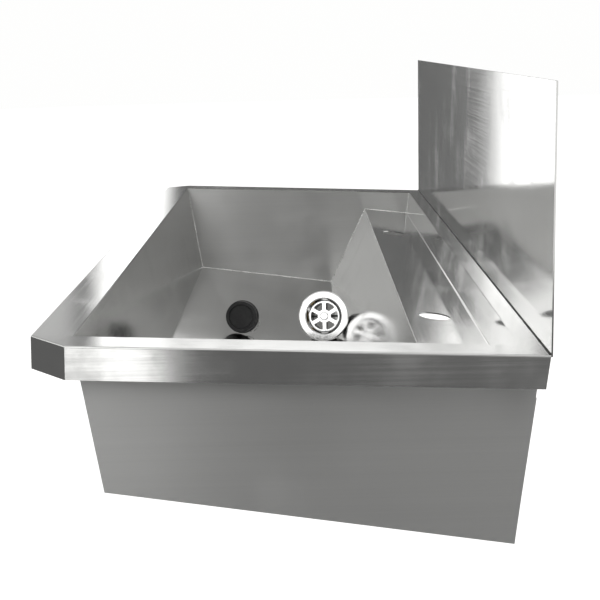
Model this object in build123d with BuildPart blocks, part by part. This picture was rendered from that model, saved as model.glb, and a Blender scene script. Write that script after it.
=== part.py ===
"""Wall-hung stainless wash trough: a folded and welded bowl with a tap ledge and a splashback.

Millimetres, +Z up.  X runs along the trough, Y runs from the user's side (negative) to the wall.
The origin is on the wall plane, at the foot of the splashback, at mid-length.
Heights and distances that belong to the deck are measured along and square to the deck, which
falls a little towards the wall, while the splashback and the wall flanges stand plumb.
"""
import os
from math import atan2, cos, pi, radians, sin, sqrt, tan

from build123d import *

os.makedirs("parts", exist_ok=True)

# Sheet and overall size
sheet = 1.5
length = 1200.0
deck_depth = 450.0
deck_fall = 2.5
apron_depth = 30.0
apron_return = 9.0
corner_cut = 36.0
bend = 1.6

# Rims around the bowl opening
front_rim = 37.0
end_rim = 36.0
back_strip = 20.0

# Bowl section, as steps along the deck and drops below it
front_wall_run = 27.5
front_drop = 142.5
floor_run = 231.5
floor_back_drop = 164.2
ledge_front_drop = 31.2
back_wall_run = 56.5
ledge_back_drop = 37.0
riser_run = 3.3

# Shallow dish of the floor towards the waste
dish_drop = 5.0
dish_inset = 2.0
seat_radius = 37.0
seat_drop = 2.2
waste_hole_radius = 27.0
waste_hole_setback = 270.0

# Taps
tap_spacing = 600.0
tap_hole_radius = 17.5
tap_setback = 66.0

# End panels
panel_drop = 184.0
panel_lean = 5.1
panel_flange = 20.0
flange_top_drop = 48.0
flange_front_setback = 146.0

# Splashback
splashback_height = 230.0

# Wall fixings
rail_sheet = 2.0
rail_half_length = 530.0
rail_drop = 45.0
rail_foot = 15.0
rail_hole_drop = 28.0
rail_hole_pitch = 320.0
rail_holes = 4
wall_hole_radius = 4.5

# Earthing tag
tag_x = -500.0
tag_width = 18.0
tag_drop = 26.0
tag_setback = 45.0
tag_foot = 12.0
tag_hole_radius = 2.6
bolt_radius = 2.5
bolt_length = 14.0
bolt_head_height = 3.5
nut_flats = 8.0
nut_height = 4.0
washer_radius = 5.0
washer_thickness = 1.0

# Waste fitting, measured along its own axis from the flange face
waste_flange_radius = 36.0
waste_flange_edge = 1.6
well_radius = 25.0
well_foot_radius = 21.6
well_depth = 12.0
well_wall = 1.2
grid_seat_radius = 19.8
seal_thickness = 3.0
seal_inner_radius = 26.6
seal_radius = 33.0
body_flange_radius = 31.0
body_flange_thickness = 4.0
tail_radius = 23.9
tail_bore = 20.0
body_cup_depth = 8.5
body_wall = 2.0
thread_pitch = 2.3
thread_depth = 1.1
thread_turns = 12
tail_end = 56.0
hub_radius = 6.5
hub_top = 28.0
hub_end = 42.0
hub_bar = 3.0
insert_flats = 9.0
insert_length = 8.0
screw_radius = 3.0
screw_length = 28.0
screw_head_radius = 6.0
screw_head_height = 2.4
screw_slot = 1.2
grid_thickness = 1.6
grid_radius = 21.2
grid_hub_radius = 9.3
spoke_count = 6
spoke_width = 5.0
spoke_foot_width = 8.4
spoke_foot_length = 2.4
waste_x = -107.0

# Plug, measured along its own axis from the underside
plug_radius = 21.8
plug_lip_radius = 23.6
plug_lip_thickness = 2.5
plug_height = 15.0
plug_dish = 2.0
plug_dish_radius = 16.6
plug_boss_radius = 6.5
plug_boss_height = 3.0
plug_yaw = 7.0
plug_lean = 12.4
plug_roll = -38.0
plug_x = -98.0
plug_setback = 297.7
eye_wire = 1.0
eye_radius = 3.5
ring_wire = 0.9
ring_radius = 13.0
ring_lift = 1.25
rest_gap = 0.4

# Planes shared by the parts
deck = Plane(
    origin=(0, -sheet, 0),
    x_dir=(1, 0, 0),
    z_dir=(0, sin(radians(deck_fall)), cos(radians(deck_fall))),
)
section = Plane(origin=deck.origin, x_dir=deck.y_dir, z_dir=(1, 0, 0))
inner_half = length / 2 - end_rim

# Corner points of the bowl section, as (distance along the deck, height above it)
front_top = (front_rim - deck_depth, 0.0)
floor_front = (front_top[0] + front_wall_run, -front_drop)
floor_back = (floor_front[0] + floor_run, -floor_back_drop)
ledge_front = (floor_back[0] + back_wall_run, -ledge_front_drop)
riser_top = (-back_strip, 0.0)
ledge_back = (riser_top[0] - riser_run, -ledge_back_drop)
panel_back = (-panel_drop * tan(radians(panel_lean)), -panel_drop)


def along(start, end, height):
    """Return the point of the line start-end at the given height."""
    share = (height - start[1]) / (end[1] - start[1])
    return (start[0] + share * (end[0] - start[0]), height)


def on_section(point, x=0.0):
    """Return the place of a section point in the part's frame."""
    return section.from_local_coords(Vector(point[0], point[1], x))


def facing(start, end):
    """Return the plane of the sheet face that runs from start to end, with its normal up."""
    direction = (on_section(end) - on_section(start)).normalized()
    normal = Vector(1, 0, 0).cross(direction)
    return Plane(origin=on_section(start), x_dir=(1, 0, 0), z_dir=normal)


floor_face = facing(floor_front, floor_back)
ledge_face = facing(ledge_front, ledge_back)
back_face = facing(floor_back, ledge_front)


# Where the waste hole and the tap holes sit on their faces
floor_slope = atan2(floor_front[1] - floor_back[1], floor_run)
floor_width = floor_run / cos(floor_slope)
waste_offset = (-waste_hole_setback - floor_front[0]) / cos(floor_slope)
ledge_run = ledge_back[0] - ledge_front[0]
ledge_slope = atan2(ledge_back_drop - ledge_front_drop, ledge_run)
tap_offset = (-tap_setback - ledge_front[0]) / cos(ledge_slope)


def finish(node, name):
    """Name a finished part and write it out."""
    node.part.label = name
    export_step(node.part, "parts/" + name + ".step")


def apron_outline(inset, overrun):
    """Draw the deck outline, stepped in by the sheet and run out past the wall side."""
    cut = corner_cut + inset * tan(pi / 8)
    half = length / 2
    Polyline(
        (inset - half, overrun),
        (inset - half, corner_cut - deck_depth + inset * tan(pi / 8)),
        (cut - half, inset - deck_depth),
        (half - cut, inset - deck_depth),
        (half - inset, corner_cut - deck_depth + inset * tan(pi / 8)),
        (half - inset, overrun),
        close=True,
    )


# Rim frame: the deck with its turned-down apron, cut off at the two front corners
with BuildPart() as rim_frame:
    with BuildSketch(deck):
        with BuildLine():
            apron_outline(0, 0)
        make_face()
    extrude(amount=-apron_depth)
    square_to_deck = Axis((0, 0, 0), tuple(deck.z_dir))
    uprights = rim_frame.edges().filter_by(square_to_deck)
    fillet([edge for edge in uprights if edge.center().Y < -deck_depth / 2], bend)
    crown = rim_frame.faces().sort_by(square_to_deck)[-1].edges()
    fillet([edge for edge in crown if edge.center().Y < -sheet - bend], bend)
    for inset, top, bottom in (
        (sheet, sheet, apron_depth - sheet),
        (sheet + apron_return, apron_depth - sheet, apron_depth),
    ):
        with BuildSketch(deck.offset(-top)):
            with BuildLine():
                apron_outline(inset, bend)
            make_face()
        extrude(amount=top - bottom, mode=Mode.SUBTRACT)
    with BuildSketch(deck):
        with Locations((0, (front_top[0] - back_strip) / 2)):
            Rectangle(2 * inner_half, -front_top[0] - back_strip)
    extrude(amount=-sheet, mode=Mode.SUBTRACT)
    with BuildSketch(section):
        with BuildLine():
            Polyline(
                (0, -sheet),
                (-apron_depth * tan(radians(panel_lean)), -apron_depth - bend),
                (bend, -apron_depth - bend),
                (bend, -sheet),
                close=True,
            )
        make_face()
    extrude(amount=length, both=True, mode=Mode.SUBTRACT)
finish(rim_frame, "rim_frame")

# Bowl wrap: front wall, dished floor and back wall, folded from one sheet
dish_centre = (0, waste_offset)
seat_depth = dish_drop + seat_drop
with BuildPart() as bowl_wrap:
    with BuildSketch(section):
        with BuildLine():
            FilletPolyline(
                along(front_top, floor_front, -sheet),
                floor_front,
                floor_back,
                along(floor_back, ledge_front, -ledge_front_drop - sheet),
                radius=bend,
            )
            offset(amount=sheet, side=Side.RIGHT)
        make_face()
    extrude(amount=inner_half, both=True)
    for lower, mode in ((sheet, Mode.ADD), (0, Mode.SUBTRACT)):
        if mode == Mode.SUBTRACT:
            with BuildSketch(floor_face):
                with Locations(dish_centre):
                    Circle(seat_radius + sheet)
            extrude(amount=-seat_depth - sheet)
        with BuildSketch(floor_face.offset(-lower)):
            with Locations((0, floor_width / 2)):
                Rectangle(2 * (inner_half - dish_inset), floor_width - 2 * dish_inset)
        with BuildSketch(floor_face.offset(-lower - dish_drop)):
            with Locations(dish_centre):
                Rectangle(sheet, sheet)
        loft(mode=mode)
    for radius, depth in ((seat_radius, seat_depth), (waste_hole_radius, seat_depth + sheet)):
        with BuildSketch(floor_face):
            with Locations(dish_centre):
                Circle(radius)
        extrude(amount=-depth, mode=Mode.SUBTRACT)
finish(bowl_wrap, "bowl_wrap")

# Tap ledge: the ledge with its two tap holes and the riser behind it
with BuildPart() as tap_ledge:
    with BuildSketch(section):
        with BuildLine():
            FilletPolyline(
                ledge_front,
                ledge_back,
                along(ledge_back, riser_top, -sheet),
                radius=bend,
            )
            offset(amount=sheet, side=Side.RIGHT)
        make_face()
    extrude(amount=inner_half, both=True)
    with BuildSketch(ledge_face):
        with Locations((0, tap_offset)):
            with GridLocations(tap_spacing, 0, 2, 1):
                Circle(tap_hole_radius)
    extrude(amount=-2 * sheet, mode=Mode.SUBTRACT)
finish(tap_ledge, "tap_ledge")

# End panels: the bowl's end walls, which run on behind it, with a return along the free edges
flange_start = (
    -flange_front_setback,
    floor_front[1]
    + (panel_back[1] - floor_front[1])
    * (-flange_front_setback - floor_front[0]) / (panel_back[0] - floor_front[0]),
)
for side, side_name in ((1, "right"), (-1, "left")):
    inner_face = section.offset(side * inner_half)
    with BuildPart() as end_panel:
        with BuildSketch(inner_face):
            with BuildLine():
                Polyline(front_top, floor_front, panel_back, (-sheet, 0), close=True)
            make_face()
            offset(amount=sheet, kind=Kind.INTERSECTION)
            with Locations((-deck_depth / 2, 0)):
                Rectangle(2 * deck_depth, 2 * sheet, mode=Mode.SUBTRACT)
            with Locations((-deck_depth / 2, 2 * sheet)):
                Rectangle(2 * deck_depth, 2 * sheet, mode=Mode.SUBTRACT)
        extrude(amount=side * sheet)
        with BuildSketch(inner_face):
            with BuildLine():
                FilletPolyline(
                    flange_start,
                    panel_back,
                    along(panel_back, (0, 0), -flange_top_drop),
                    radius=bend,
                )
                offset(amount=sheet, side=Side.RIGHT)
            make_face()
        extrude(amount=-side * panel_flange)
    finish(end_panel, "end_panel_" + side_name)

# Splashback: a plumb sheet on the wall, standing on the rear edge of the deck
with BuildPart() as splashback:
    with BuildSketch(Plane.XY.offset(-sheet)):
        with Locations((0, -sheet / 2)):
            Rectangle(length, sheet)
    extrude(amount=splashback_height + sheet)
finish(splashback, "splashback")


def under_deck(setback):
    """Return the height of the deck's underside at a distance from the wall."""
    return (setback - sheet) * tan(radians(deck_fall)) - sheet / cos(radians(deck_fall))


# Rear rail: the angle under the back strip that hangs the trough on the wall
with BuildPart() as rear_rail:
    with BuildSketch(Plane.YZ):
        with BuildLine():
            FilletPolyline(
                (-rail_foot, under_deck(rail_foot)),
                (0, under_deck(0)),
                (0, -rail_drop),
                radius=bend,
            )
            offset(amount=rail_sheet, side=Side.RIGHT)
        make_face()
    extrude(amount=rail_half_length, both=True)
    with BuildSketch(Plane.XZ):
        with Locations((0, -rail_hole_drop)):
            with GridLocations(rail_hole_pitch, 0, rail_holes, 1):
                Circle(wall_hole_radius)
    extrude(amount=2 * rail_sheet, mode=Mode.SUBTRACT)
finish(rear_rail, "rear_rail")

# Earthing tag: a bent tab welded under the ledge, with its bolt
under_ledge = (
    -ledge_front_drop
    - sheet / cos(ledge_slope)
    - (-tag_setback - ledge_front[0]) * tan(ledge_slope)
)
tag_centre = (-tag_setback, under_ledge - tag_drop + tag_width / 2)
with BuildPart() as earth_tag:
    with BuildSketch(section.offset(tag_x - tag_width / 2)):
        with BuildLine():
            FilletPolyline(
                (-tag_setback - tag_foot, under_ledge + tag_foot * tan(ledge_slope)),
                (-tag_setback, under_ledge),
                (-tag_setback, under_ledge - tag_drop),
                radius=bend,
            )
            offset(amount=sheet, side=Side.RIGHT)
        make_face()
    extrude(amount=tag_width)
    tag_face = Plane(origin=on_section(tag_centre, tag_x), x_dir=(1, 0, 0), z_dir=deck.y_dir)
    with BuildSketch(tag_face):
        Circle(tag_hole_radius)
    extrude(amount=-2 * sheet, mode=Mode.SUBTRACT)
finish(earth_tag, "earth_tag")

with BuildPart() as earth_washers:
    for start in (0, -sheet - washer_thickness):
        with BuildSketch(tag_face.offset(start)):
            Circle(washer_radius)
            Circle(tag_hole_radius, mode=Mode.SUBTRACT)
        extrude(amount=washer_thickness)
finish(earth_washers, "earth_washers")

with BuildPart() as earth_nut:
    with BuildSketch(tag_face.offset(washer_thickness)):
        RegularPolygon(nut_flats / 2, 6, major_radius=False)
        Circle(bolt_radius, mode=Mode.SUBTRACT)
    extrude(amount=nut_height)
finish(earth_nut, "earth_nut")

with BuildPart() as earth_bolt:
    under_head = -sheet - washer_thickness
    with BuildSketch(tag_face.offset(under_head)):
        RegularPolygon(nut_flats / 2, 6, major_radius=False)
    extrude(amount=-bolt_head_height)
    with BuildSketch(tag_face.offset(under_head)):
        Circle(bolt_radius)
    extrude(amount=bolt_length)
finish(earth_bolt, "earth_bolt")


def resting(radius):
    """Return where a disc's centre lies when it rests on the dished floor and the back wall."""
    low = on_section(dish_low)
    floor_up = Vector(1, 0, 0).cross((on_section(floor_back) - low).normalized())
    wall_out = back_face.z_dir
    reach = radius + rest_gap
    floor_reach = floor_up.dot(low) + reach
    wall_reach = wall_out.dot(back_face.origin) + reach
    spread = floor_up.Y * wall_out.Z - floor_up.Z * wall_out.Y
    return Vector(
        0,
        (floor_reach * wall_out.Z - wall_reach * floor_up.Z) / spread,
        (wall_reach * floor_up.Y - floor_reach * wall_out.Y) / spread,
    )


# Waste fitting: it lies loose in the corner of floor and back wall, flange towards one end
dish_low = (-waste_hole_setback, floor_front[1] - waste_offset * sin(floor_slope) - dish_drop)
flange_rest = resting(waste_flange_radius) + Vector(waste_x, 0, 0)
tail_shift = resting(tail_radius) - resting(waste_flange_radius)
tail_reach = sqrt(tail_end**2 - tail_shift.length**2)
waste_frame = Plane(
    origin=flange_rest,
    x_dir=(0, 1, 0),
    z_dir=Vector(tail_reach, -tail_shift.Y, -tail_shift.Z),
)
waste_profile = Plane(origin=flange_rest, x_dir=waste_frame.x_dir, z_dir=-waste_frame.y_dir)
waste_axis = Axis(flange_rest, waste_frame.z_dir)
well_foot = -well_depth - well_wall
seal_foot = -waste_flange_edge - seal_thickness

with BuildPart() as waste_flange:
    with BuildSketch(waste_profile):
        with BuildLine():
            Polyline(
                (waste_flange_radius, -waste_flange_edge),
                (waste_flange_radius, -waste_flange_edge / 2),
                (waste_flange_radius - waste_flange_edge, 0),
                (well_radius + waste_flange_edge, 0),
                (well_radius, -waste_flange_edge),
                (well_foot_radius, -well_depth),
                (grid_seat_radius, -well_depth),
                (grid_seat_radius, well_foot),
                (well_foot_radius + well_wall, well_foot),
                (well_radius + well_wall, -waste_flange_edge),
                close=True,
            )
        make_face()
    revolve(axis=waste_axis)
finish(waste_flange, "waste_flange")

with BuildPart() as waste_grid:
    with BuildSketch(waste_frame.offset(-well_depth)):
        Circle(grid_hub_radius)
        with PolarLocations(0, spoke_count, start_angle=90):
            with Locations((grid_radius / 2, 0)):
                Rectangle(grid_radius, spoke_width)
            with Locations((grid_radius - spoke_foot_length / 2, 0)):
                Rectangle(spoke_foot_length, spoke_foot_width)
        with BuildSketch(mode=Mode.PRIVATE) as grid_disc:
            Circle(grid_radius)
        add(grid_disc.sketch, mode=Mode.INTERSECT)
        Circle(screw_radius + rest_gap, mode=Mode.SUBTRACT)
    extrude(amount=grid_thickness)
finish(waste_grid, "waste_grid")

with BuildPart() as waste_screw:
    with BuildSketch(waste_frame.offset(grid_thickness - well_depth)):
        Circle(screw_head_radius)
    extrude(amount=screw_head_height)
    fillet(waste_screw.edges().sort_by(waste_axis)[-1], screw_head_height / 2)
    with BuildSketch(waste_frame.offset(grid_thickness - well_depth + screw_head_height / 2)):
        Rectangle(2 * screw_head_radius, screw_slot)
    extrude(amount=screw_head_height, mode=Mode.SUBTRACT)
    with BuildSketch(waste_frame.offset(grid_thickness - well_depth)):
        Circle(screw_radius)
    extrude(amount=-screw_length)
finish(waste_screw, "waste_screw")

with BuildPart() as waste_top_seal:
    with BuildSketch(waste_frame.offset(-waste_flange_edge)):
        Circle(seal_radius)
        Circle(seal_inner_radius, mode=Mode.SUBTRACT)
    extrude(amount=-seal_thickness)
finish(waste_top_seal, "waste_top_seal")

with BuildPart() as waste_lower_seal:
    with BuildSketch(waste_frame.offset(seal_foot)):
        Circle(body_flange_radius)
        Circle(seal_inner_radius, mode=Mode.SUBTRACT)
    extrude(amount=-seal_thickness)
finish(waste_lower_seal, "waste_lower_seal")

with BuildPart() as waste_body:
    cup_top = seal_foot - seal_thickness
    cup_floor = cup_top - body_cup_depth
    with BuildSketch(waste_profile):
        with BuildLine():
            Polyline(
                (seal_inner_radius, cup_top),
                (body_flange_radius, cup_top),
                (body_flange_radius, cup_top - body_flange_thickness),
                (seal_inner_radius + body_wall, cup_top - body_flange_thickness),
                (seal_inner_radius + body_wall, cup_floor),
                (tail_radius, cup_floor - body_wall),
                (tail_radius, -tail_end),
                (tail_bore, -tail_end),
                (tail_bore, cup_floor - body_wall),
                (seal_inner_radius, cup_floor),
                close=True,
            )
        make_face()
    revolve(axis=waste_axis)
    with BuildSketch(waste_frame.offset(-hub_top)):
        Circle(hub_radius)
        for turn in (0, 90):
            Rectangle(2 * tail_bore + body_wall, hub_bar, rotation=turn)
    extrude(amount=hub_top - hub_end)
    with BuildSketch(waste_frame.offset(-hub_top)):
        RegularPolygon(insert_flats / 2, 6, major_radius=False)
    extrude(amount=-insert_length, mode=Mode.SUBTRACT)
    with BuildSketch(waste_frame.offset(-hub_top)):
        Circle(screw_radius + rest_gap)
    extrude(amount=hub_top - hub_end, mode=Mode.SUBTRACT)
    with BuildSketch(waste_profile):
        with Locations(*[(tail_radius, (turn + 1) * thread_pitch - tail_end)
                         for turn in range(thread_turns)]):
            Rectangle(thread_depth * sqrt(2), thread_depth * sqrt(2), rotation=45)
    revolve(axis=waste_axis, mode=Mode.SUBTRACT)
finish(waste_body, "waste_body")

with BuildPart() as waste_insert:
    with BuildSketch(waste_frame.offset(-hub_top)):
        RegularPolygon(insert_flats / 2, 6, major_radius=False)
        Circle(screw_radius, mode=Mode.SUBTRACT)
    extrude(amount=-insert_length)
finish(waste_insert, "waste_insert")

# Plug: it stands on its lip on the floor, underside towards one end, with its pull ring behind
plug_along = (-plug_setback - floor_front[0]) / cos(floor_slope)
plug_share = abs(plug_along - waste_offset) / (floor_width / 2)
plug_under = (
    -plug_setback,
    floor_front[1] - plug_along * sin(floor_slope) - dish_drop * (1 - plug_share),
)
plug_rise = (
    plug_lip_radius * cos(radians(plug_lean))
    + plug_height * sin(radians(plug_lean))
    + rest_gap
)
plug_facing = (
    Vector(1, 0, 0) * cos(radians(plug_yaw)) * cos(radians(plug_lean))
    - deck.y_dir * sin(radians(plug_yaw)) * cos(radians(plug_lean))
    + deck.z_dir * sin(radians(plug_lean))
)
plug_right = (deck.y_dir - plug_facing * deck.y_dir.dot(plug_facing)).normalized()
plug_up = plug_facing.cross(plug_right)
plug_frame = Plane(
    origin=on_section(plug_under, plug_x) + floor_face.z_dir * plug_rise,
    x_dir=plug_right * cos(radians(plug_roll)) + plug_up * sin(radians(plug_roll)),
    z_dir=plug_facing,
)
plug_profile = Plane(
    origin=plug_frame.origin, x_dir=plug_frame.x_dir, z_dir=-plug_frame.y_dir
)
boss_face = plug_frame.offset(-plug_height - plug_boss_height)

with BuildPart(Plane(boss_face.origin, boss_face.x_dir, boss_face.y_dir)) as plug_eye:
    Torus(eye_radius, eye_wire)
finish(plug_eye, "plug_eye")

with BuildPart() as sink_plug:
    with BuildSketch(plug_profile):
        with BuildLine():
            Polyline(
                (0, -plug_dish),
                (plug_dish_radius, -plug_dish),
                (plug_dish_radius + plug_dish / 2, 0),
                (plug_radius, 0),
                (plug_radius + plug_dish / 2, plug_lip_thickness - plug_height),
                (plug_lip_radius, plug_lip_thickness - plug_height),
                (plug_lip_radius, -plug_height),
                (plug_boss_radius, -plug_height),
                (plug_boss_radius, -plug_height - plug_boss_height),
                (0, -plug_height - plug_boss_height),
                close=True,
            )
        make_face()
    revolve(axis=Axis(plug_frame.origin, plug_frame.z_dir))
    add(plug_eye.part, mode=Mode.SUBTRACT)
finish(sink_plug, "sink_plug")

ring_face = boss_face.offset(-ring_lift)
ring_centre = ring_face.from_local_coords(Vector(ring_radius, 0, 0))
with BuildPart(Plane(ring_centre, ring_face.x_dir, ring_face.z_dir)) as plug_ring:
    Torus(ring_radius, ring_wire)
finish(plug_ring, "plug_ring")
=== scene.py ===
"""Looks of a wall-hung stainless wash trough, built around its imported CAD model.

Metres, in the model's own frame: +X along the trough, +Y from the user into the wall, +Z up.
Every CAD piece keeps its shape and gets a procedural finish. The welds and the joint line are meshes
of their own, placed from the CAD nodes they belong to.
"""

from math import cos, pi, radians, sin

import bpy
from mathutils import Matrix, Vector, noise
from mathutils.bvhtree import BVHTree


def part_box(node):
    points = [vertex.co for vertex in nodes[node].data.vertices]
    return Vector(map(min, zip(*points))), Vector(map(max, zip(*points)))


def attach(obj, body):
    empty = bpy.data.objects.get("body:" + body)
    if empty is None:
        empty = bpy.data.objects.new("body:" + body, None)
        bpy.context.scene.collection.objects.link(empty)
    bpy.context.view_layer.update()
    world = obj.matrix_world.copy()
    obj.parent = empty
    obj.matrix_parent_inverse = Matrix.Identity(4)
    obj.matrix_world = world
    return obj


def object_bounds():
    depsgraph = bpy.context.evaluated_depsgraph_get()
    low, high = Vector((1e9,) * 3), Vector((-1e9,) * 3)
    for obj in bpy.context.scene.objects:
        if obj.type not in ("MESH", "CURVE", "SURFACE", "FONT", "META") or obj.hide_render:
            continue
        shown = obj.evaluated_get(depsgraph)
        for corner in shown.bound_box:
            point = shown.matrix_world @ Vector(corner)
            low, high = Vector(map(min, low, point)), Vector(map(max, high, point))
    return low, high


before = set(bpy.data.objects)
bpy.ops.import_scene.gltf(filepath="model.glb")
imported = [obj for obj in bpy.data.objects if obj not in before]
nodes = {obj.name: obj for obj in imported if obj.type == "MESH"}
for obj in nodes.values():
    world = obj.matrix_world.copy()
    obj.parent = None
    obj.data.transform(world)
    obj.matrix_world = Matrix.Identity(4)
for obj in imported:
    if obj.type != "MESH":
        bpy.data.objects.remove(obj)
cad_low, cad_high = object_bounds()
scene = bpy.context.scene

# Camera, in metres, with the lens and the sensor in millimetres
EYE = Vector((1.6139, -0.2088, 0.2652))
AIM = Vector((0.0, -0.21684, -0.07216))
ROLL = radians(-1.389)
LENS = 73.85
SENSOR = 36.0

# Room: the floor's depth under the trough, the backdrop's radius, colours and how strongly each glows
FLOOR_DROP = 0.72
ROOM_RADIUS = 24.0
PALE = (0.92, 0.92, 0.915, 1)
CARD_WHITE = (1.0, 1.0, 0.99, 1)
FLOOR_GLOW = 0.55
BACKDROP_GLOW = 1.08
SKY_LOW, SKY_HIGH = 0.15, 0.90
# Heights (sine of the elevation) between which the sky turns from its low to its high strength
SKY_TURN = (0.30, 0.75)

# Brushing: features per metre across and along the grain, and the height in metres of the fine
# streaks and of the broad bands
ACROSS_GRAIN, ALONG_GRAIN = 620.0, 4.0
STREAK_HEIGHT = 0.0000006
BROAD_HEIGHT = 0.0000022
# Roughness range of the dull mill finish
MILL_FINISH = (0.36, 0.46)

# Welds and joint line, in metres: step between rings of vertices, radius, and share that it ripples
BOWL_BEAD = (0.0012, 0.0009, 0.7)
LEDGE_BEAD = (0.0015, 0.0008, 0.25)
JOINT_BEAD = (0.004, 0.0008, 0.3)
BEAD_SIDES = 8
# Lumps per metre along a bead, fine and broad
FINE_LUMPS, BROAD_LUMPS = 260, 60
# How far a straight bead stops short of each end, and how far the joint line's middle stands off
# the splashback and the deck
BEAD_INSET = 0.001
JOINT_STANDOFF = 0.0002

# Section through the bowl: how far inside the bowl's end it lies, the number of rays that find it,
# and the height they start from
SECTION_INSET = 0.001
SECTION_RAYS = 1440
SECTION_EYE_HEIGHT = 0.004


# ---------------------------------------------------------------- node helpers

def add(tree, kind, inputs=None, **settings):
    """Make a shader node; an input is a value or another node's output."""
    node = tree.nodes.new(kind)
    for name, value in settings.items():
        setattr(node, name, value)
    for key, value in (inputs or {}).items():
        if isinstance(value, bpy.types.NodeSocket):
            tree.links.new(value, node.inputs[key])
        else:
            node.inputs[key].default_value = value
    return node


def calc(tree, operation, first, second=0.0, clamp=False):
    """One math node's result."""
    node = add(tree, "ShaderNodeMath", {0: first, 1: second}, operation=operation, use_clamp=clamp)
    return node.outputs[0]


def ramp(tree, value, low, high, to_low=0.0, to_high=1.0):
    """Smooth step of a value from one range into another."""
    node = add(
        tree,
        "ShaderNodeMapRange",
        {"Value": value, "From Min": low, "From Max": high, "To Min": to_low, "To Max": to_high},
        interpolation_type="SMOOTHSTEP",
    )
    return node.outputs["Result"]


def stretched_noise(tree, place, scale, detail=3.0, roughness=0.55):
    """Noise over object coordinates, scaled apart along each axis (features per metre)."""
    scaled = add(tree, "ShaderNodeMapping", {"Vector": place, "Scale": scale})
    node = add(
        tree,
        "ShaderNodeTexNoise",
        {"Vector": scaled.outputs[0], "Scale": 1.0, "Detail": detail, "Roughness": roughness},
    )
    return node.outputs["Fac"]


def tint(tree, value, dark, light):
    """Colour between two greys (or hues) by a value from 0 to 1."""
    node = add(tree, "ShaderNodeMix", {"Factor": value, "A": dark, "B": light}, data_type="RGBA")
    return node.outputs["Result"]


def new_material(name):
    """A node material with its Principled shader and object coordinates."""
    material = bpy.data.materials.new(name)
    material.use_nodes = True
    tree = material.node_tree
    shader = tree.nodes["Principled BSDF"]
    place = add(tree, "ShaderNodeTexCoord").outputs["Object"]
    return material, tree, shader, place


def fixed_vector(tree, values):
    """A vector that is the same everywhere."""
    return add(tree, "ShaderNodeCombineXYZ", dict(zip("XYZ", values))).outputs[0]


def plug_in(tree, shader, **sockets):
    """Set or link the shader's inputs by name."""
    for name, value in sockets.items():
        socket = shader.inputs[name.replace("_", " ")]
        if isinstance(value, bpy.types.NodeSocket):
            tree.links.new(value, socket)
        else:
            socket.default_value = value


def bumped(tree, height, distance, below=None):
    """Normal of a height field in metres, on top of an earlier normal."""
    inputs = {"Height": height, "Distance": distance, "Strength": 1.0}
    if below is not None:
        inputs["Normal"] = below
    return add(tree, "ShaderNodeBump", inputs).outputs["Normal"]


# ---------------------------------------------------------------- materials

GRAIN_SCALES = {
    "x": (ALONG_GRAIN, ACROSS_GRAIN, ACROSS_GRAIN),
    "y": (ACROSS_GRAIN, ALONG_GRAIN, ACROSS_GRAIN),
    "z": (ACROSS_GRAIN, ACROSS_GRAIN, ALONG_GRAIN),
}
# Each direction leans a little off its axis, so that no face lies square to it. Such a face would
# have no tangent.
GRAIN_DIRECTIONS = {"x": (1, 0.02, 0.03), "y": (0.02, 1, 0.03), "z": (0.02, 0.03, 1)}


def sheet_steel(name, along, smooth, rough, anisotropy, ripple, grey=0.66, ends_from=None,
                matt_from=None):
    """Brushed stainless sheet.

    along is the brushing direction; past ends_from from mid-length it turns to run front to back.
    smooth and rough are the roughness of the clean and the worn finish, and ripple is the height
    of the sheet's slow waviness in metres. Past matt_from the sheet keeps its dull mill finish.
    """
    material, tree, shader, place = new_material(name)
    streak = stretched_noise(tree, place, GRAIN_SCALES[along])
    broad = stretched_noise(tree, place, tuple(scale / 6 for scale in GRAIN_SCALES[along]), 2.0)
    grain = fixed_vector(tree, GRAIN_DIRECTIONS[along])
    distance = calc(tree, "ABSOLUTE", add(tree, "ShaderNodeSeparateXYZ", {0: place}).outputs["X"])
    if ends_from is not None:
        at_end = calc(tree, "GREATER_THAN", distance, ends_from)
        streak = add(
            tree, "ShaderNodeMix",
            {"Factor": at_end, "A": streak, "B": stretched_noise(tree, place, GRAIN_SCALES["y"])},
        ).outputs["Result"]
        turned = fixed_vector(tree, GRAIN_DIRECTIONS["y"])
        grain = add(
            tree, "ShaderNodeMix", {"Factor": at_end, 4: grain, 5: turned}, data_type="VECTOR"
        ).outputs[1]
    face = add(tree, "ShaderNodeNewGeometry").outputs["True Normal"]
    across = add(
        tree, "ShaderNodeVectorMath", {0: face, 1: grain}, operation="CROSS_PRODUCT"
    ).outputs[0]
    handling = stretched_noise(tree, place, (9.0, 9.0, 9.0), 5.0, 0.62)
    waviness = stretched_noise(tree, place, (7.0, 7.0, 7.0), 1.5, 0.4)
    worn = calc(tree, "MULTIPLY", ramp(tree, handling, 0.45, 0.75), 0.5)
    finish = calc(tree, "ADD", worn, calc(tree, "MULTIPLY", streak, 0.6), clamp=True)
    tone = calc(tree, "ADD", calc(tree, "MULTIPLY", streak, 0.5), calc(tree, "MULTIPLY", broad, 0.5))
    roughness = ramp(tree, finish, 0.1, 0.9, smooth, rough)
    if matt_from is not None:
        matt = calc(tree, "GREATER_THAN", distance, matt_from)
        dull = ramp(tree, finish, 0.1, 0.9, *MILL_FINISH)
        roughness = add(
            tree, "ShaderNodeMix", {"Factor": matt, "A": roughness, "B": dull}
        ).outputs["Result"]
    normal = bumped(tree, waviness, ripple)
    normal = bumped(tree, broad, BROAD_HEIGHT, below=normal)
    normal = bumped(tree, streak, STREAK_HEIGHT, below=normal)
    plug_in(
        tree, shader,
        Metallic=1.0,
        Base_Color=tint(tree, tone, (grey * 0.93, grey * 0.93, grey * 0.92, 1),
                        (grey * 1.07, grey * 1.07, grey * 1.06, 1)),
        Roughness=roughness,
        Anisotropic=anisotropy,
        Tangent=across,
        Normal=normal,
    )
    return material


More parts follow.
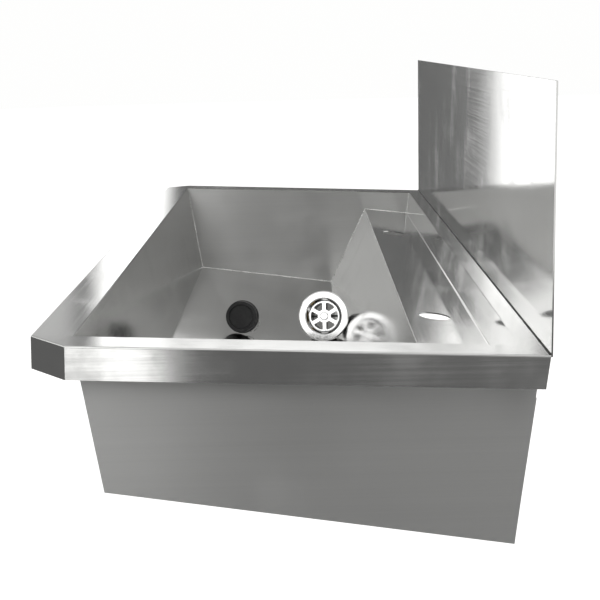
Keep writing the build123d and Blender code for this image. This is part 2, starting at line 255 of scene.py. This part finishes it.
def weld_steel(name):
    """Ground weld metal: bright, uneven and rough."""
    material, tree, shader, place = new_material(name)
    lumps = stretched_noise(tree, place, (420.0, 420.0, 420.0), 4.0, 0.7)
    patches = stretched_noise(tree, place, (45.0, 45.0, 45.0), 2.0)
    plug_in(
        tree, shader,
        Metallic=1.0,
        Base_Color=tint(tree, patches, (0.50, 0.50, 0.49, 1), (0.86, 0.86, 0.85, 1)),
        Roughness=ramp(tree, lumps, 0.3, 0.7, 0.18, 0.42),
        Normal=bumped(tree, lumps, 0.0005),
    )
    return material


def chrome(name):
    """Polished plating with faint handling marks."""
    material, tree, shader, place = new_material(name)
    marks = stretched_noise(tree, place, (260.0, 260.0, 260.0), 6.0, 0.7)
    cloud = stretched_noise(tree, place, (30.0, 30.0, 30.0), 2.0)
    plug_in(
        tree, shader,
        Metallic=1.0,
        Base_Color=tint(tree, cloud, (0.56, 0.56, 0.56, 1), (0.68, 0.68, 0.68, 1)),
        Roughness=ramp(tree, marks, 0.35, 0.75, 0.05, 0.16),
        Normal=bumped(tree, marks, 0.00001),
    )
    return material


def turned_metal(name, dark, light, smooth, rough):
    """Machined metal with fine tool marks and a little tarnish."""
    material, tree, shader, place = new_material(name)
    tarnish = stretched_noise(tree, place, (160.0, 160.0, 160.0), 4.0, 0.6)
    tooling = stretched_noise(tree, place, (3500.0, 300.0, 300.0), 2.0)
    plug_in(
        tree, shader,
        Metallic=1.0,
        Base_Color=tint(tree, tarnish, dark, light),
        Roughness=ramp(tree, tooling, 0.25, 0.75, smooth, rough),
        Normal=bumped(tree, tooling, 0.000008),
    )
    return material


def moulded(name, dark, light, smooth, rough, grain):
    """Moulded rubber or plastic with a fine grain and a dusty bloom."""
    material, tree, shader, place = new_material(name)
    skin = stretched_noise(tree, place, (1300.0, 1300.0, 1300.0), 3.0, 0.6)
    bloom = stretched_noise(tree, place, (60.0, 60.0, 60.0), 4.0, 0.65)
    plug_in(
        tree, shader,
        Base_Color=tint(tree, ramp(tree, bloom, 0.35, 0.8), dark, light),
        Roughness=ramp(tree, bloom, 0.3, 0.75, smooth, rough),
        Normal=bumped(tree, skin, grain),
    )
    return material


def sealant(name):
    """The dark line of sealant and shadow where the splashback meets the deck."""
    material, tree, shader, place = new_material(name)
    dirt = stretched_noise(tree, place, (40.0, 900.0, 900.0), 3.0)
    plug_in(
        tree, shader,
        Base_Color=tint(tree, dirt, (0.010, 0.010, 0.010, 1), (0.040, 0.038, 0.036, 1)),
        Roughness=ramp(tree, dirt, 0.3, 0.7, 0.45, 0.7),
        Normal=bumped(tree, dirt, 0.0001),
    )
    return material


# Half the bowl's length inside, and about the middle of an end panel's thickness
INNER_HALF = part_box("bowl_wrap")[1].x
PANEL_MIDDLE = INNER_HALF + 0.0008
FINISHES = {
    "rim": sheet_steel("rim_steel", "x", smooth=0.09, rough=0.19, anisotropy=0.5, ripple=0.00012,
                       ends_from=INNER_HALF),
    "wrap": sheet_steel("bowl_steel", "x", smooth=0.12, rough=0.24, anisotropy=0.7, ripple=0.0002),
    "ledge": sheet_steel("ledge_steel", "x", smooth=0.08, rough=0.18, anisotropy=0.5,
                         ripple=0.00012),
    "end": sheet_steel("end_steel", "y", smooth=0.28, rough=0.40, anisotropy=0.85, ripple=0.0002,
                       matt_from=PANEL_MIDDLE),
    "wall": sheet_steel("splashback_steel", "x", smooth=0.08, rough=0.17, anisotropy=0.5,
                        ripple=0.00014),
    "bracket": sheet_steel("bracket_steel", "z", smooth=0.30, rough=0.45, anisotropy=0.3,
                           ripple=0.0002, grey=0.58),
    "weld": weld_steel("weld_steel"),
    "chrome": chrome("waste_chrome"),
    "rubber": moulded("black_rubber", (0.008, 0.008, 0.009, 1), (0.030, 0.030, 0.030, 1),
                      0.42, 0.62, 0.00006),
    "plastic": moulded("black_plastic", (0.012, 0.012, 0.012, 1), (0.028, 0.028, 0.028, 1),
                       0.30, 0.45, 0.00003),
    "brass": turned_metal("insert_brass", (0.55, 0.38, 0.15, 1), (0.80, 0.60, 0.30, 1), 0.22, 0.38),
    "wire": turned_metal("drawn_wire", (0.42, 0.42, 0.41, 1), (0.62, 0.62, 0.61, 1), 0.18, 0.32),
    "fastener": turned_metal("bolt_steel", (0.50, 0.50, 0.49, 1), (0.70, 0.70, 0.68, 1), 0.22, 0.36),
    "sealant": sealant("joint_sealant"),
}
WORN_BY = {
    "rim_frame": "rim", "bowl_wrap": "wrap", "tap_ledge": "ledge", "splashback": "wall",
    "end_panel_right": "end", "end_panel_left": "end", "rear_rail": "bracket",
    "earth_tag": "bracket",
    "earth_washers": "fastener", "earth_nut": "fastener", "earth_bolt": "fastener",
    "waste_flange": "chrome", "waste_grid": "chrome", "waste_screw": "chrome",
    "waste_top_seal": "rubber", "waste_lower_seal": "rubber", "waste_body": "plastic",
    "waste_insert": "brass", "sink_plug": "rubber", "plug_eye": "wire", "plug_ring": "wire",
}
for node_name, finish_name in WORN_BY.items():
    node = nodes[node_name]
    node.data.materials.clear()
    node.data.materials.append(FINISHES[finish_name])


# ---------------------------------------------------------------- added pieces

def mesh_piece(name, vertices, faces, finish_name, body):
    """A mesh in the model's frame that rides a body."""
    mesh = bpy.data.meshes.new(name)
    mesh.from_pydata([tuple(v) for v in vertices], [], faces)
    mesh.validate()
    mesh.polygons.foreach_set("use_smooth", [True] * len(mesh.polygons))
    mesh.materials.append(FINISHES[finish_name])
    piece = bpy.data.objects.new(name, mesh)
    scene.collection.objects.link(piece)
    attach(piece, body)


def spaced(path, step):
    """The same line with its points a step apart."""
    points = [Vector(path[0])]
    for target in path[1:]:
        target = Vector(target)
        while (target - points[-1]).length >= step:
            points.append(points[-1] + (target - points[-1]).normalized() * step)
    return points


def bead(line, step, radius, ripple, seed):
    """Vertices and faces of a closed rod along a line, whose radius ripples like a ground weld."""
    path = spaced(line, step)
    sides = BEAD_SIDES
    vertices, faces = [], []
    for index, point in enumerate(path):
        ahead = path[min(index + 1, len(path) - 1)] - path[max(index - 1, 0)]
        ahead.normalize()
        side = ahead.cross(Vector((1, 0.2, 0.1))).normalized()
        upright = ahead.cross(side)
        wave = noise.noise(point * FINE_LUMPS + Vector((seed, 0, 0)))
        wave += 0.7 * noise.noise(point * BROAD_LUMPS + Vector((0, seed, 0)))
        size = radius * (1 + ripple * wave)
        for turn in range(sides):
            angle = 2 * pi * turn / sides
            vertices.append(point + side * size * cos(angle) + upright * size * sin(angle))
    for index in range(len(path) - 1):
        for turn in range(sides):
            first = index * sides + turn
            second = index * sides + (turn + 1) % sides
            faces.append((first, second, second + sides, first + sides))
    last = (len(path) - 1) * sides
    faces.append(tuple(reversed(range(sides))))
    faces.append(tuple(range(last, last + sides)))
    return vertices, faces


def inner_profile():
    """The bowl's and the ledge's upper surface near one end, as (y, z) from front to back."""
    trees = [BVHTree.FromObject(nodes[name], bpy.context.evaluated_depsgraph_get())
             for name in ("bowl_wrap", "tap_ledge")]
    section_x = INNER_HALF - SECTION_INSET
    eye_y = (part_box("bowl_wrap")[0].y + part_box("bowl_wrap")[1].y) / 2
    eye = Vector((section_x, eye_y, SECTION_EYE_HEIGHT))
    found = []
    for step in range(SECTION_RAYS):
        angle = pi + pi * step / SECTION_RAYS
        ray = Vector((0, cos(angle), sin(angle)))
        hits = [tree.ray_cast(eye, ray) for tree in trees]
        near = [hit for hit in hits if hit[0] is not None]
        if near:
            place = min(near, key=lambda hit: hit[3])[0]
            found.append((place.y, place.z))
    return found


def weld_seams():
    """Welds between the bowl's folded sheets and its two end panels."""
    profile = inner_profile()
    for side, name in ((1, "right"), (-1, "left")):
        path = [Vector((side * INNER_HALF, y, z)) for y, z in profile]
        vertices, faces = bead(path, *BOWL_BEAD, seed=7 * side)
        mesh_piece("bowl_weld_" + name, vertices, faces, "weld", "trough")


def ledge_seam():
    """The ground weld where the back wall meets the tap ledge."""
    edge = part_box("tap_ledge")[0].y
    y, z = min(inner_profile(), key=lambda point: abs(point[0] - edge))
    path = [Vector((x, y, z)) for x in (BEAD_INSET - INNER_HALF, INNER_HALF - BEAD_INSET)]
    vertices, faces = bead(path, *LEDGE_BEAD, seed=11)
    mesh_piece("ledge_weld", vertices, faces, "weld", "trough")


def joint_line():
    """The dark joint along the splashback's foot."""
    low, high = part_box("splashback")
    # The splashback reaches one sheet's thickness below the deck's face.
    thickness = high.y - low.y
    level = low.z + thickness
    path = [Vector((x, low.y - JOINT_STANDOFF, level + JOINT_STANDOFF))
            for x in (low.x + BEAD_INSET, high.x - BEAD_INSET)]
    vertices, faces = bead(path, *JOINT_BEAD, seed=3)
    mesh_piece("splashback_joint", vertices, faces, "sealant", "trough")


weld_seams()
ledge_seam()
joint_line()


# ---------------------------------------------------------------- studio

# Soft cards of light: name, centre, size along Y or X and along Z, the axis it faces along, strength
CARDS = (
    ("far_strip", (-6.0, -1.2, 0.7), (0.6, 3.4), "x", 2.0),
    ("far_band", (-6.0, 0.2, 2.0), (3.0, 1.2), "x", 1.5),
    ("far_fill", (-6.0, -2.2, 1.0), (1.5, 2.8), "x", 0.6),
    ("key_high", (4.5, -1.8, 2.0), (2.4, 2.4), "x", 2.5),
    ("key_low", (4.5, -1.8, -1.0), (2.2, 0.6), "x", 2.0),
    ("side_fill", (4.5, 1.2, -0.2), (2.8, 1.2), "x", 1.0),
    ("front_fill", (1.5, -4.0, 2.2), (5.0, 2.2), "y", 1.5),
    ("back_fill", (0.0, 5.0, 0.3), (8.0, 4.6), "y", 0.9),
)
# Width of a card's soft edge
SOFT_EDGE = 0.2
# The level edge of a card that faces along each axis
LEVEL_EDGE = {"x": ("Y", Vector((0, 1, 0))), "y": ("X", Vector((1, 0, 0)))}
UPRIGHT = Vector((0, 0, 1))


def build_cards():
    """Soft-edged cards of light round the trough, hidden from the camera itself."""
    for name, centre, (across, tall), axis, strength in CARDS:
        letter, level = LEVEL_EDGE[axis]
        corners = [level * (across / 2 * i) + UPRIGHT * (tall / 2 * j)
                   for i, j in ((-1, -1), (1, -1), (1, 1), (-1, 1))]
        mesh = bpy.data.meshes.new(name)
        mesh.from_pydata([tuple(corner) for corner in corners], [], [(0, 1, 2, 3)])
        card = bpy.data.objects.new(name, mesh)
        card.location = centre
        scene.collection.objects.link(card)
        material = bpy.data.materials.new(name)
        material.use_nodes = True
        tree = material.node_tree
        tree.nodes.clear()
        place = add(tree, "ShaderNodeTexCoord").outputs["Object"]
        parts = add(tree, "ShaderNodeSeparateXYZ", {0: place}).outputs
        inside = [
            ramp(tree, calc(tree, "ABSOLUTE", parts[side]), half - SOFT_EDGE, half, 1.0, 0.0)
            for side, half in ((letter, across / 2), ("Z", tall / 2))
        ]
        mask = calc(tree, "MULTIPLY", *inside)
        glow = add(tree, "ShaderNodeEmission", {"Color": CARD_WHITE, "Strength": strength})
        clear = add(tree, "ShaderNodeBsdfTransparent")
        both = add(tree, "ShaderNodeMixShader", {0: mask, 1: clear.outputs[0], 2: glow.outputs[0]})
        add(tree, "ShaderNodeOutputMaterial", {"Surface": both.outputs[0]})
        mesh.materials.append(material)
        card.visible_camera = False


def build_sky():
    """An even grey room, brighter overhead."""
    world = bpy.data.worlds.new("studio")
    world.use_nodes = True
    scene.world = world
    tree = world.node_tree
    sky = add(tree, "ShaderNodeTexCoord").outputs["Generated"]
    height = add(tree, "ShaderNodeSeparateXYZ", {0: sky}).outputs["Z"]
    level = ramp(tree, height, *SKY_TURN, SKY_LOW, SKY_HIGH)
    background = tree.nodes["Background"]
    background.inputs["Color"].default_value = CARD_WHITE
    tree.links.new(level, background.inputs["Strength"])


def floor_paint():
    """Pale even paint that also glows a little, and shows from above only."""
    material = bpy.data.materials.new("floor_paint")
    material.use_nodes = True
    tree = material.node_tree
    tree.nodes.clear()
    glow = add(tree, "ShaderNodeEmission", {"Color": PALE, "Strength": FLOOR_GLOW})
    paint = add(tree, "ShaderNodeBsdfDiffuse", {"Color": PALE})
    both = add(tree, "ShaderNodeAddShader", {0: glow.outputs[0], 1: paint.outputs[0]})
    clear = add(tree, "ShaderNodeBsdfTransparent")
    back = add(tree, "ShaderNodeNewGeometry").outputs["Backfacing"]
    mix = add(tree, "ShaderNodeMixShader", {0: back, 1: both.outputs[0], 2: clear.outputs[0]})
    add(tree, "ShaderNodeOutputMaterial", {"Surface": mix.outputs[0]})
    return material


def backdrop_glow():
    """Plain pale light with no shading of its own."""
    material = bpy.data.materials.new("backdrop_glow")
    material.use_nodes = True
    tree = material.node_tree
    tree.nodes.clear()
    glow = add(tree, "ShaderNodeEmission", {"Color": PALE, "Strength": BACKDROP_GLOW})
    add(tree, "ShaderNodeOutputMaterial", {"Surface": glow.outputs[0]})
    return material


def build_stage():
    """A plain pale floor well below the trough and a pale backdrop all round."""
    level = cad_low.z - FLOOR_DROP
    bpy.ops.mesh.primitive_circle_add(vertices=96, radius=ROOM_RADIUS, fill_type="NGON",
                                      location=(0, 0, level))
    floor = bpy.context.object
    floor.name = "studio_floor"
    floor.data.materials.append(floor_paint())
    floor.visible_glossy = False
    bpy.ops.mesh.primitive_uv_sphere_add(segments=96, ring_count=48, radius=ROOM_RADIUS,
                                         location=(0, 0, level))
    dome = bpy.context.object
    dome.name = "studio_backdrop"
    dome.data.flip_normals()
    dome.data.materials.append(backdrop_glow())
    for ray in ("diffuse", "glossy", "transmission", "volume_scatter", "shadow"):
        setattr(dome, "visible_" + ray, False)


def build_camera():
    """The viewing angle: from beyond the right-hand end, a little above the deck."""
    data = bpy.data.cameras.new("camera")
    data.lens = LENS
    data.sensor_width = SENSOR
    data.clip_start = 0.05
    data.clip_end = 100
    camera = bpy.data.objects.new("camera", data)
    scene.collection.objects.link(camera)
    facing = (AIM - EYE).to_track_quat("-Z", "Y")
    turn = Matrix.Rotation(ROLL, 4, "Z")
    camera.matrix_world = Matrix.Translation(EYE) @ facing.to_matrix().to_4x4() @ turn
    scene.camera = camera


build_camera()
build_sky()
build_cards()
build_stage()
scene.view_settings.view_transform = "Standard"
scene.view_settings.look = "None"
